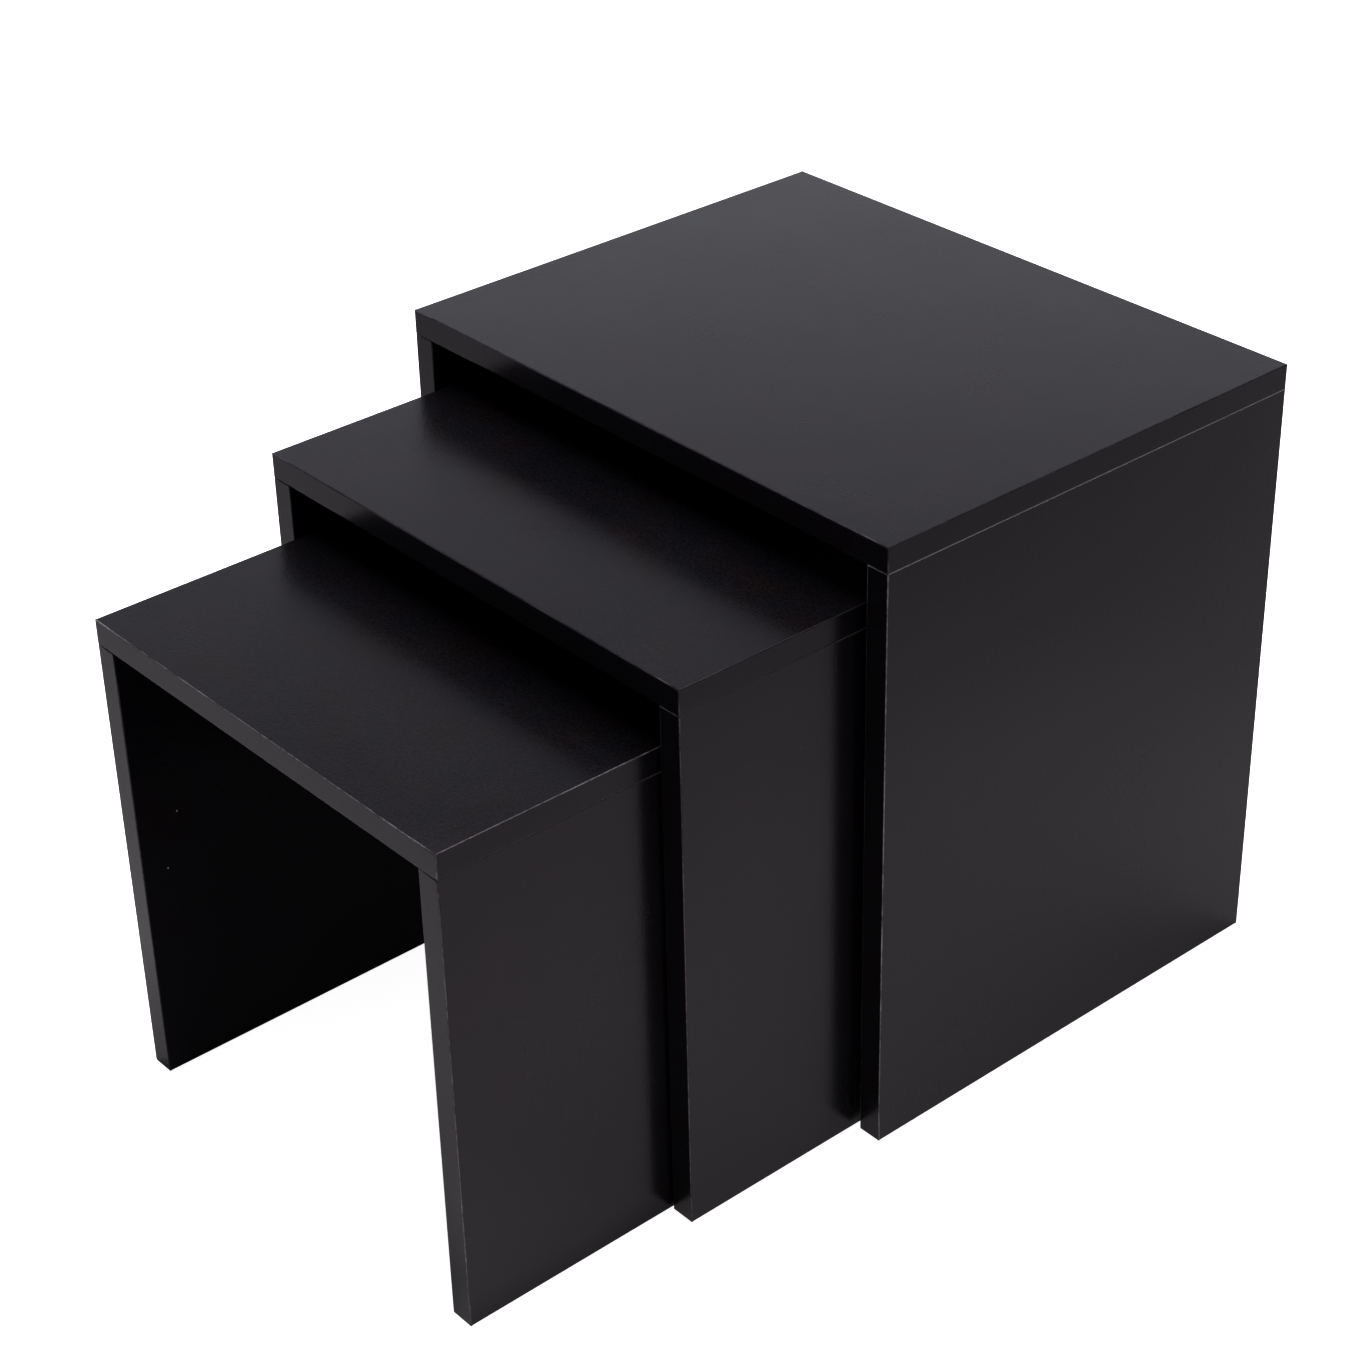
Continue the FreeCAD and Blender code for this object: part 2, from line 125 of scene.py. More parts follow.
foil = {
    "brown": (0.0043, 0.0030, 0.0037),
    "blue": (0.0030, 0.0031, 0.0047),
    "patchSize": 0.045,
    "patchEdges": (0.38, 0.62),
    "stippleSize": 0.0016,
    "stippleDepth": 0.00007,
    "stippleShade": (0.45, 1.6),
    "stippleShine": (-0.02, 0.02),
    "waveSize": 0.06,
    "waveDepth": 0.00003,
    "smudgeSize": 0.09,
    "smudgeStretch": (1, 1, 1.6),
    "smudgeShine": (-0.025, 0.03),
    "roughness": 0.235,
    "gloss": 0.215,
    "tint": (1.0, 0.845, 0.98),
    "shuffle": 9,  # keeps the patches of one board from lining up with the next
    "skin": 0.00003,  # the core starts this far under the face
    "core": (0.20, 0.135, 0.08),
    "coreRoughness": 0.75,
    "chip": (0.36, 0.27, 0.17),
    "chipSize": 0.0016,
    "chipEdges": (0.45, 0.62),
    # a painted highlight on the boards' eased rims, one grey for each table
    "rimHighlight": {"large": (0.44, 0.41, 0.42), "medium": (0.10, 0.09, 0.09), "small": (0.08, 0.07, 0.07)},
    # each grain is so far behind and above the board's front lower corner
    "dust": {"small_left_side_board": ((0.030, 0.2015), (0.018, 0.161))},
    "dustSize": 0.0006,
    "dustCore": 0.6,  # share of a grain that is fully white
    "dustColour": (0.7, 0.68, 0.66),
}


def foilColour(tree, place, look, shift=0.0):
    patches = spread(tree, mottle(tree, place, look["patchSize"], 3.0, 0.6, shift=shift), *look["patchEdges"])
    colour = blendColour(tree, patches, (*look["brown"], 1), (*look["blue"], 1))
    stipple = mottle(tree, place, look["stippleSize"], 1.0)
    shade = spread(tree, stipple, 0.25, 0.75, *look["stippleShade"])
    return blendColour(tree, 1.0, colour, shade, "MULTIPLY"), stipple


def foilBoard(node, across):
    low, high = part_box(node)
    axis = "xyz".index(across)
    material, tree, shader, place = newMaterial(f"foil_{node}", foil["brown"])
    colour, stipple = foilColour(tree, place, foil, shift=low[axis] * foil["shuffle"])
    # the raw particleboard shows in the bores and on the ends under the bands
    parts = addNode(tree, "ShaderNodeSeparateXYZ", {0: place.outputs["Object"]})
    middle = (low[axis] + high[axis]) / 2
    fromMiddle = calc(tree, "ABSOLUTE", calc(tree, "SUBTRACT", parts.outputs[axis], middle))
    inCore = calc(tree, "LESS_THAN", fromMiddle, (high[axis] - low[axis]) / 2 - foil["skin"])
    chips = spread(tree, mottle(tree, place, foil["chipSize"], 3.0, 0.7), *foil["chipEdges"])
    core = blendColour(tree, chips, (*foil["core"], 1), (*foil["chip"], 1))
    # the eased rim is painted a lighter grey as a highlight, stronger on the large table than on the others
    table = node.split("_")[0]
    core = blendColour(tree, arrisMask(tree, place), core, (*foil["rimHighlight"][table], 1))
    colour = blendColour(tree, inCore, colour, core)
    # a few grains of white dust cling to the inner face
    for behind, above in foil["dust"].get(node, ()):
        grain = (high[axis], low[1] + behind, low[2] + above)
        away = addNode(tree, "ShaderNodeVectorMath", {0: place.outputs["Object"], 1: grain},
                       operation="DISTANCE")
        near = spread(tree, away.outputs["Value"], foil["dustSize"], foil["dustSize"] * foil["dustCore"])
        colour = blendColour(tree, near, colour, (*foil["dustColour"], 1))
    tree.links.new(colour, shader.inputs["Base Color"])
    clouds = mottle(tree, place, foil["smudgeSize"], 4.0, 0.62, foil["smudgeStretch"], shift=3.1)
    smudges = spread(tree, clouds, 0.35, 0.65, *foil["smudgeShine"])
    fine = spread(tree, stipple, 0.3, 0.7, *foil["stippleShine"])
    surface = calc(tree, "ADD", calc(tree, "ADD", smudges, fine), foil["roughness"])
    tree.links.new(calc(tree, "MAXIMUM", surface, calc(tree, "MULTIPLY", inCore, foil["coreRoughness"])),
                   shader.inputs["Roughness"])
    shader.inputs["Specular IOR Level"].default_value = foil["gloss"]
    shader.inputs["Specular Tint"].default_value = (*foil["tint"], 1)
    wave = mottle(tree, place, foil["waveSize"], 2.0, shift=1.7)
    height = calc(tree, "MULTIPLY_ADD", wave, foil["waveDepth"] / foil["stippleDepth"], stipple)
    roughen(tree, shader, height, foil["stippleDepth"])
    return material


def finishBoards():
    for table in tables:
        for board, across in (("top_board", "z"), ("left_side_board", "x"), ("right_side_board", "x")):
            name = f"{table}_{board}"
            material = foilBoard(name, across)
            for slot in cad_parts[name].material_slots:
                slot.material = material


finishBoards()
print("foil on", 3 * len(tables), "boards")


# an empty node tree with one named input for each size; the kind of input follows from the value
def newTree(name, sizes):
    tree = bpy.data.node_groups.new(name, "GeometryNodeTree")
    tree.is_modifier = True
    tree.interface.new_socket("Geometry", in_out="OUTPUT", socket_type="NodeSocketGeometry")
    for label, value in sizes.items():
        kind = {float: "Float", int: "Int", bool: "Bool"}.get(type(value), "Material")
        tree.interface.new_socket(label, in_out="INPUT", socket_type="NodeSocket" + kind)
    return tree, addNode(tree, "NodeGroupInput").outputs


def finishTree(tree, given, shape):
    real = addNode(tree, "GeometryNodeRealizeInstances", {"Geometry": shape}).outputs[0]
    painted = addNode(tree, "GeometryNodeSetMaterial", {
        "Geometry": real, "Material": given["Material"]}).outputs[0]
    addNode(tree, "NodeGroupOutput", {"Geometry": painted})


# an object that shows what a tree makes at the given sizes
def growPiece(name, tree, sizes):
    piece = bpy.data.objects.new(name, bpy.data.meshes.new(name))
    bpy.context.scene.collection.objects.link(piece)
    modifier = piece.modifiers.new("shape", "NODES")
    modifier.node_group = tree
    for socket in tree.interface.items_tree:
        if socket.in_out == "INPUT":
            modifier[socket.identifier] = sizes[socket.name]
    return piece


# keeps the result as a plain mesh at its place, and hands it over for the CAD node
def settlePiece(piece, place, table, node):
    graph = bpy.context.evaluated_depsgraph_get()
    mesh = bpy.data.meshes.new_from_object(piece.evaluated_get(graph), preserve_all_data_layers=True,
                                           depsgraph=graph)
    piece.modifiers.clear()
    piece.data = mesh
    mesh.transform(place)
    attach(piece, f"{table}_table")
    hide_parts(node)


# smooth all over, with a crease at every edge sharper than the limit (in radians) that isn't left out
def creaseShape(tree, shape, limit=0.6, leftOut=0.0):
    beyondAnyAngle = 9.0
    shape = addNode(tree, "GeometryNodeSetShadeSmooth", {"Geometry": shape, "Shade Smooth": True}).outputs[0]
    angle = addNode(tree, "GeometryNodeInputMeshEdgeAngle").outputs[0]
    kept = calc(tree, "SUBTRACT", angle, calc(tree, "MULTIPLY", leftOut, beyondAnyAngle))
    sharp = calc(tree, "GREATER_THAN", kept, limit)
    return addNode(tree, "GeometryNodeSetShadeSmooth", {
        "Geometry": shape, "Selection": sharp, "Shade Smooth": False}, domain="EDGE").outputs[0]


# strips of edge band; each place has the way the strip runs, the side that shows and whether its ends
# are rounded too
band = {
    "arris": 0.0008,
    "arrisSteps": 4,
    "spacing": 0.024,
    "unevenness": 0.00006,
    "ripple": 0.11,
    "brown": (0.0040, 0.0028, 0.0036),
    "blue": (0.0028, 0.0028, 0.0040),
    "patchSize": 0.03,
    "patchEdges": (0.38, 0.62),
    "stippleSize": 0.0013,
    "stippleDepth": 0.00003,
    "stippleShade": (0.45, 1.6),
    "smudgeSize": 0.05,
    "smudgeShine": (-0.02, 0.03),
    "roughness": 0.24,
    "gloss": 0.20,
    "tint": (1.0, 0.845, 0.98),
    "scrapedAndHighlight": (0.27, 0.25, 0.26),
    "scrapedDullness": 0.3,
    "scrapeAndGlintLength": 0.035,
    "scrapeAndGlintDot": 0.0035,
    # how strongly each arris is lightened by real scraping and a painted highlight, strongest on the large
    # table's right front arris
    "wearAndHighlight": {"large_right_side_front_band": 1.0, "small_top_right_band": 0.55, "small_top_front_band": 0.6,
             "medium_right_side_front_band": 0.4, "small_right_side_front_band": 0.6},
    "wearAndHighlightElsewhere": 0.12,
    "seedStep": 20,
    "places": {
        "top_front_band": ("x", "-y", True), "top_back_band": ("x", "+y", True),
        "top_left_band": ("y", "-x", False), "top_right_band": ("y", "+x", False),
        "left_side_front_band": ("z", "-y", True), "left_side_back_band": ("z", "+y", True),
        "left_side_bottom_band": ("y", "-z", False),
        "right_side_front_band": ("z", "-y", True), "right_side_back_band": ("z", "+y", True),
        "right_side_bottom_band": ("y", "-z", False),
    },
}


def bandFoil():
    material, tree, shader, place = newMaterial("edge_band_foil", band["brown"])
    colour, stipple = foilColour(tree, place, band, shift=5.3)
    # the trimmed arris is painted a lighter grey in broken lengths and dots: partly real scraping, partly a
    # painted highlight and glints along the rounded edge
    lengths = mottle(tree, place, band["scrapeAndGlintLength"], 3.0, 0.65, shift=0.4)
    lengths = spread(tree, lengths, 0.36, 0.60, 0.35, 1.0)
    dots = mottle(tree, place, band["scrapeAndGlintDot"], 2.0, 0.6, shift=2.2)
    dots = spread(tree, dots, 0.35, 0.62, 0.45, 1.0)
    wearAndHighlight = addNode(tree, "ShaderNodeAttribute", attribute_name="wearAndHighlight").outputs["Fac"]
    onArris = calc(tree, "MULTIPLY", wearAndHighlight, arrisMask(tree, place))
    wornAndHighlighted = calc(tree, "MULTIPLY", calc(tree, "MULTIPLY", lengths, dots), onArris)
    tree.links.new(blendColour(tree, wornAndHighlighted, colour, (*band["scrapedAndHighlight"], 1)), shader.inputs["Base Color"])
    clouds = mottle(tree, place, band["smudgeSize"], 3.0, 0.6, shift=1.1)
    surface = calc(tree, "ADD", spread(tree, clouds, 0.35, 0.65, *band["smudgeShine"]), band["roughness"])
    tree.links.new(calc(tree, "MULTIPLY_ADD", wornAndHighlighted, band["scrapedDullness"], surface),
                   shader.inputs["Roughness"])
    shader.inputs["Specular IOR Level"].default_value = band["gloss"]
    shader.inputs["Specular Tint"].default_value = (*band["tint"], 1)
    roughen(tree, shader, stipple, band["stippleDepth"])
    return material


# a strip with its outer face up, cut along its length so that its long edges can wander a little
def bandTree(sizes):
    tree, given = newTree("edgeBand", sizes)
    box = addNode(tree, "ShaderNodeCombineXYZ", {
        0: given["Length"], 1: given["Width"], 2: given["Thickness"]})
    cuts = calc(tree, "CEIL", calc(tree, "DIVIDE", given["Length"], given["Spacing"]))
    strip = addNode(tree, "GeometryNodeMeshCube", {
        "Size": box.outputs[0], "Vertices X": calc(tree, "ADD", cuts, 1.0)}).outputs["Mesh"]
    spot = addNode(tree, "GeometryNodeInputPosition").outputs[0]
    along, across, up = addNode(tree, "ShaderNodeSeparateXYZ", {0: spot}).outputs
    side = calc(tree, "SIGN", across)
    sway = addNode(tree, "ShaderNodeTexNoise", {
        "Vector": spot, "W": given["Seed"], "Scale": calc(tree, "DIVIDE", 1.0, given["Ripple"])},
        noise_dimensions="4D").outputs["Fac"]
    inward = calc(tree, "MULTIPLY", calc(tree, "MULTIPLY", sway, given["Unevenness"]), side)
    shift = addNode(tree, "ShaderNodeCombineXYZ", {1: calc(tree, "MULTIPLY", inward, -1.0)}).outputs[0]
    strip = addNode(tree, "GeometryNodeSetPosition", {
        "Geometry": strip, "Selection": calc(tree, "GREATER_THAN", up, 0.0), "Offset": shift}).outputs[0]
    # the rim of the outer face is marked for the cutter that rounds it; an edge is on the rim when its
    # middle lies nearly half the strip's size out
    nearRim, nearEnd = 0.45, 0.499
    outer = calc(tree, "GREATER_THAN", up, calc(tree, "MULTIPLY", given["Thickness"], nearRim))
    onSide = calc(tree, "GREATER_THAN", calc(tree, "ABSOLUTE", across),
                  calc(tree, "MULTIPLY", given["Width"], nearRim))
    onEnd = calc(tree, "GREATER_THAN", calc(tree, "ABSOLUTE", along),
                 calc(tree, "MULTIPLY", given["Length"], nearEnd))
    onEnd = calc(tree, "MULTIPLY", onEnd, given["Rounded Ends"])
    marked = calc(tree, "MULTIPLY", outer, calc(tree, "MAXIMUM", onSide, onEnd))
    strip = addNode(tree, "GeometryNodeStoreNamedAttribute", {
        "Geometry": strip, "Name": "bevel_weight_edge", "Value": marked},
        data_type="FLOAT", domain="EDGE").outputs[0]
    finishTree(tree, given, creaseShape(tree, strip, leftOut=marked))
    return tree


def makeBands():
    direction = {"x": Vector((1, 0, 0)), "y": Vector((0, 1, 0)), "z": Vector((0, 0, 1))}
    # usual sizes, which settle the kind of each input; every strip then gets its own
    sizes = {"Length": 0.4, "Width": 0.018, "Thickness": 0.001, "Spacing": band["spacing"],
             "Unevenness": band["unevenness"], "Ripple": band["ripple"], "Seed": 1, "Rounded Ends": True,
             "Material": bandFoil()}
    tree = bandTree(sizes)
    for table in tables:
        for number, (place, (length, facing, roundedEnds)) in enumerate(band["places"].items()):
            node = f"{table}_{place}"
            low, high = (Vector(corner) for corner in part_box(node))
            size = high - low
            along = direction[length]
            outward = direction[facing[1]] * (-1 if facing[0] == "-" else 1)
            across = outward.cross(along)
            sizes["Length"] = abs(size.dot(along))
            sizes["Width"] = abs(size.dot(across))
            sizes["Thickness"] = abs(size.dot(outward))
            sizes["Seed"] = number + band["seedStep"] * tables.index(table)
            sizes["Rounded Ends"] = roundedEnds
            strip = growPiece(f"{node}_strip", tree, sizes)
            cutter = strip.modifiers.new("arris", "BEVEL")
            cutter.limit_method = "WEIGHT"
            cutter.width = band["arris"]
            cutter.segments = band["arrisSteps"]
            cutter.harden_normals = True
            turned = Matrix((along, across, outward)).transposed().to_4x4()
            settlePiece(strip, Matrix.Translation((low + high) / 2) @ turned, table, node)
            # each strip's share of real scraping and painted highlight on its arris
            wornAndHighlighted = strip.data.attributes.new("wearAndHighlight", "FLOAT", "POINT")
            amount = band["wearAndHighlight"].get(node, band["wearAndHighlightElsewhere"])
            wornAndHighlighted.data.foreach_set("value", [amount] * len(strip.data.vertices))


makeBands()
print("edge bands:", len(tables) * len(band["places"]), "strips")


# fittings: four of each to a table, two in each side board, so each kind is one piece to a table
def setFour(tree, given, fitting):
    grid = addNode(tree, "GeometryNodeMeshGrid", {
        "Size X": given["Across"], "Size Y": given["Along"],
        "Vertices X": 2, "Vertices Y": 2}).outputs["Mesh"]
    spot = addNode(tree, "GeometryNodeInputPosition").outputs[0]
    side = calc(tree, "SIGN", addNode(tree, "ShaderNodeSeparateXYZ", {0: spot}).outputs[0])
    spin = addNode(tree, "FunctionNodeRandomValue", {"Max": given["Spin"], "Seed": given["Seed"]},
                   data_type="FLOAT")
    spin = [socket for socket in spin.outputs if socket.enabled][0]
    turn = addNode(tree, "ShaderNodeCombineXYZ", {1: calc(tree, "MULTIPLY", side, given["Lean"]), 2: spin})
    turn = addNode(tree, "FunctionNodeEulerToRotation", {0: turn.outputs[0]}).outputs[0]
    return addNode(tree, "GeometryNodeInstanceOnPoints", {
        "Points": grid, "Instance": fitting, "Rotation": turn}).outputs[0]


def moveShape(tree, shape, height):
    up = addNode(tree, "ShaderNodeCombineXYZ", {2: height}).outputs[0]
    return addNode(tree, "GeometryNodeTransform", {"Geometry": shape, "Translation": up}).outputs[0]


# a plain round from one height to another
def turnedRound(tree, radius, low, high, sides=32):
    length = calc(tree, "SUBTRACT", high, low)
    shape = addNode(tree, "GeometryNodeMeshCylinder", {"Vertices": sides, "Radius": radius, "Depth": length})
    return moveShape(tree, shape.outputs["Mesh"], calc(tree, "MULTIPLY", calc(tree, "ADD", low, high), 0.5))


def joinShapes(tree, shapes):
    joined = addNode(tree, "GeometryNodeJoinGeometry")
    for shape in shapes:
        tree.links.new(shape, joined.inputs[0])
    return joined.outputs[0]


# an upright line cut into equal steps, and how far along it each step is
def uprightLine(tree, length, steps):
    line = addNode(tree, "GeometryNodeCurvePrimitiveLine", {
        "End": addNode(tree, "ShaderNodeCombineXYZ", {2: length}).outputs[0]}).outputs[0]
    line = addNode(tree, "GeometryNodeResampleCurve", {"Curve": line, "Count": steps}).outputs[0]
    return line, addNode(tree, "GeometryNodeSplineParameter").outputs["Length"]


capFace = {
    "cap": {"Radius": 0.0085, "Thickness": 0.001, "Edge": 0.0005, "Cross Length": 0.0076,
            "Cross Width": 0.001, "Ring Radius": 0.0058, "Ring Wire": 0.00025, "Reach": 0.0019},
    "steps": 13,
    "sides": 56,
    "wireSides": 8,
    "colour": (0.0052, 0.0045, 0.0050),
    "cloudSize": 0.006,
    "cloudShade": (0.85, 1.2),
    "roughness": (0.33, 0.44),
    "gloss": 0.35,
    "grainSize": 0.0004,
    "grainDepth": 0.00002,
}


def capPlastic():
    material, tree, shader, place = newMaterial("cap_moulding", capFace["colour"])
    grain = mottle(tree, place, capFace["grainSize"], 2.0)
    shade = spread(tree, mottle(tree, place, capFace["cloudSize"], 2.0), 0.3, 0.7, *capFace["cloudShade"])
    tree.links.new(blendColour(tree, 1.0, (*capFace["colour"], 1), shade, "MULTIPLY"),
                   shader.inputs["Base Color"])
    tree.links.new(spread(tree, grain, 0.3, 0.7, *capFace["roughness"]), shader.inputs["Roughness"])
    shader.inputs["Specular IOR Level"].default_value = capFace["gloss"]
    roughen(tree, shader, grain, capFace["grainDepth"])
    return material


# a disc with a rounded edge and a fine moulded ring, held by a cross that reaches into the cam
def capTree(sizes):
    tree, given = newTree("coverCap", sizes)
    line, height = uprightLine(tree, given["Thickness"], capFace["steps"])
    start = calc(tree, "SUBTRACT", given["Thickness"], given["Edge"])
    climbed = calc(tree, "DIVIDE", calc(tree, "SUBTRACT", height, start), given["Edge"])
    climbed = calc(tree, "MAXIMUM", climbed, 0.0)
    left = calc(tree, "SQRT", calc(tree, "SUBTRACT", 1.0, calc(tree, "MULTIPLY", climbed, climbed)))
    trimmed = calc(tree, "MULTIPLY", calc(tree, "SUBTRACT", 1.0, left), given["Edge"])
    outline = addNode(tree, "GeometryNodeCurvePrimitiveCircle", {
        "Resolution": capFace["sides"], "Radius": 1.0}).outputs[0]
    disc = addNode(tree, "GeometryNodeCurveToMesh", {
        "Curve": line, "Profile Curve": outline, "Scale": calc(tree, "SUBTRACT", given["Radius"], trimmed),
        "Fill Caps": True}).outputs[0]
    ringLine = addNode(tree, "GeometryNodeCurvePrimitiveCircle", {
        "Resolution": capFace["sides"], "Radius": given["Ring Radius"]})
    wire = addNode(tree, "GeometryNodeCurvePrimitiveCircle", {
        "Resolution": capFace["wireSides"], "Radius": given["Ring Wire"]})
    ring = addNode(tree, "GeometryNodeCurveToMesh", {
        "Curve": ringLine.outputs[0], "Profile Curve": wire.outputs[0]}).outputs[0]
    shapes = [moveShape(tree, disc, given["Reach"]),
              moveShape(tree, ring, calc(tree, "ADD", given["Reach"], given["Thickness"]))]
    for first, second in (("Cross Length", "Cross Width"), ("Cross Width", "Cross Length")):
        depth = calc(tree, "ADD", given["Reach"], calc(tree, "MULTIPLY", given["Thickness"], 0.5))
        size = addNode(tree, "ShaderNodeCombineXYZ", {0: given[first], 1: given[second], 2: depth}).outputs[0]
        arm = addNode(tree, "GeometryNodeMeshCube", {"Size": size}).outputs["Mesh"]
        shapes.append(moveShape(tree, arm, calc(tree, "MULTIPLY", depth, 0.5)))
    finishTree(tree, given, setFour(tree, given, creaseShape(tree, joinShapes(tree, shapes))))
    return tree


boltShape = {
    "bolt": {"Thread Radius": 0.0025, "Root Radius": 0.0018, "Thread Length": 0.011, "Pitch": 0.0022,
             "Collar Radius": 0.0035, "Collar Height": 0.0015, "Shank Radius": 0.0023, "Head Radius": 0.0033,
             "Head Height": 0.0024},
    "shankSides": 28,
    "rootSides": 24,
    "stepsPerTurn": 20,
    "ridgeSides": 4,
    "colour": (0.46, 0.46, 0.44),
    "stain": (0.33, 0.31, 0.27),
    "stainSize": 0.005,
    "turningSize": 0.0006,
    "turningDepth": 0.00002,
    "roughness": (0.28, 0.44),
}


def boltSteel():
    material, tree, shader, place = newMaterial("plated_bolt_steel", boltShape["colour"], metallic=1.0)
    stains = spread(tree, mottle(tree, place, boltShape["stainSize"], 3.0, 0.6), 0.40, 0.65)
    tree.links.new(blendColour(tree, stains, (*boltShape["colour"], 1), (*boltShape["stain"], 1)),
                   shader.inputs["Base Color"])
    turning = mottle(tree, place, boltShape["turningSize"], 2.0, 0.5, stretch=(8, 8, 0.4))
    tree.links.new(spread(tree, turning, 0.3, 0.7, *boltShape["roughness"]), shader.inputs["Roughness"])
    roughen(tree, shader, turning, boltShape["turningDepth"])
    return material


# a cam bolt: a flat head, a shank, a collar that stops it and a coarse thread wound round its root
def boltTree(sizes):
    tree, given = newTree("camBolt", sizes)
    collarTop = calc(tree, "SUBTRACT", given["Length"], given["Thread Length"])
    collarFoot = calc(tree, "SUBTRACT", collarTop, given["Collar Height"])
    ridge = calc(tree, "SUBTRACT", given["Thread Radius"], given["Root Radius"])
    windLength = calc(tree, "SUBTRACT", given["Thread Length"], calc(tree, "MULTIPLY", ridge, 2.0))
    winding = addNode(tree, "GeometryNodeCurveSpiral", {
        "Resolution": boltShape["stepsPerTurn"],
        "Rotations": calc(tree, "DIVIDE", windLength, given["Pitch"]),
        "Start Radius": given["Root Radius"], "End Radius": given["Root Radius"], "Height": windLength,
        "Reverse": True}).outputs[0]
    winding = addNode(tree, "GeometryNodeSetCurveNormal", {"Curve": winding}, mode="Z_UP").outputs[0]
    wire = addNode(tree, "GeometryNodeCurvePrimitiveCircle", {
        "Resolution": boltShape["ridgeSides"], "Radius": ridge}).outputs[0]
    thread = addNode(tree, "GeometryNodeCurveToMesh", {
        "Curve": winding, "Profile Curve": wire, "Fill Caps": True}).outputs[0]
    insideHead = calc(tree, "MULTIPLY", given["Head Height"], 0.5)
    shapes = [
        turnedRound(tree, given["Head Radius"], 0.0, given["Head Height"]),
        turnedRound(tree, given["Shank Radius"], insideHead, collarTop, boltShape["shankSides"]),
        turnedRound(tree, given["Collar Radius"], collarFoot, collarTop),
        turnedRound(tree, given["Root Radius"], collarFoot, given["Length"], boltShape["rootSides"]),
        moveShape(tree, thread, calc(tree, "ADD", collarTop, ridge)),
    ]
    finishTree(tree, given, setFour(tree, given, creaseShape(tree, joinShapes(tree, shapes))))
    return tree


dowelShape = {
    "dowel": {"Radius": 0.0039, "Flute": 0.0003, "Flutes": 20, "Point": 0.001, "Point Depth": 0.001},
    "pale": (0.56, 0.38, 0.22),
    "dark": (0.38, 0.235, 0.125),
    "fleck": (0.25, 0.135, 0.065),
    "fleckSize": 0.0004,
    "grainSize": 0.0012,
    "grainDepth": 0.00005,
    "roughness": (0.56, 0.68),
    "crease": 1.0,
}


def dowelBeech():
    material, tree, shader, place = newMaterial("beech", dowelShape["pale"])
    grain = mottle(tree, place, dowelShape["grainSize"], 3.0, 0.6, stretch=(1, 1, 24))
    grain = spread(tree, grain, 0.35, 0.65)
    colour = blendColour(tree, grain, (*dowelShape["pale"], 1), (*dowelShape["dark"], 1))
    flecks = mottle(tree, place, dowelShape["fleckSize"], 1.0, 0.5, stretch=(1, 1, 5), shift=0.9)
    flecks = spread(tree, flecks, 0.66, 0.72)
    tree.links.new(blendColour(tree, flecks, colour, (*dowelShape["fleck"], 1)), shader.inputs["Base Color"])
    tree.links.new(spread(tree, grain, 0.0, 1.0, *dowelShape["roughness"]), shader.inputs["Roughness"])
    roughen(tree, shader, grain, dowelShape["grainDepth"])
    return material


# a fluted dowel with pointed ends
def dowelTree(sizes):
    tree, given = newTree("dowel", sizes)
    lengths = calc(tree, "ROUND", calc(tree, "DIVIDE", given["Length"], given["Point"]))
    steps = calc(tree, "ADD", lengths, 1.0)
    line, height = uprightLine(tree, given["Length"], steps)
    toEnd = calc(tree, "MINIMUM", height, calc(tree, "SUBTRACT", given["Length"], height))
    share = calc(tree, "DIVIDE", calc(tree, "MINIMUM", toEnd, given["Point"]), given["Point"])
    slimmed = calc(tree, "DIVIDE", given["Point Depth"], given["Radius"])
    scale = calc(tree, "SUBTRACT", 1.0, calc(tree, "MULTIPLY", slimmed, calc(tree, "SUBTRACT", 1.0, share)))
    outline = addNode(tree, "GeometryNodeCurveStar", {
        "Points": given["Flutes"], "Outer Radius": given["Radius"],
        "Inner Radius": calc(tree, "SUBTRACT", given["Radius"], given["Flute"])}).outputs[0]
    peg = addNode(tree, "GeometryNodeCurveToMesh", {
        "Curve": line, "Profile Curve": outline, "Scale": scale, "Fill Caps": True}).outputs[0]
    finishTree(tree, given, setFour(tree, given, creaseShape(tree, peg, dowelShape["crease"])))
    return tree


camHousing = {
    "colour": (0.36, 0.36, 0.37),
    "dull": (0.24, 0.24, 0.25),
    "bloomSize": 0.004,
    "skinSize": 0.0005,
    "skinDepth": 0.00003,
    "roughness": (0.40, 0.58),
}


def castZinc():
    material, tree, shader, place = newMaterial("die_cast_zinc", camHousing["colour"], metallic=1.0)
    bloom = spread(tree, mottle(tree, place, camHousing["bloomSize"], 4.0, 0.65), 0.38, 0.64)
    tree.links.new(blendColour(tree, bloom, (*camHousing["colour"], 1), (*camHousing["dull"], 1)),
                   shader.inputs["Base Color"])
    skin = mottle(tree, place, camHousing["skinSize"], 3.0, 0.6)
    tree.links.new(spread(tree, skin, 0.3, 0.7, *camHousing["roughness"]), shader.inputs["Roughness"])
    roughen(tree, shader, skin, camHousing["skinDepth"])
    return material


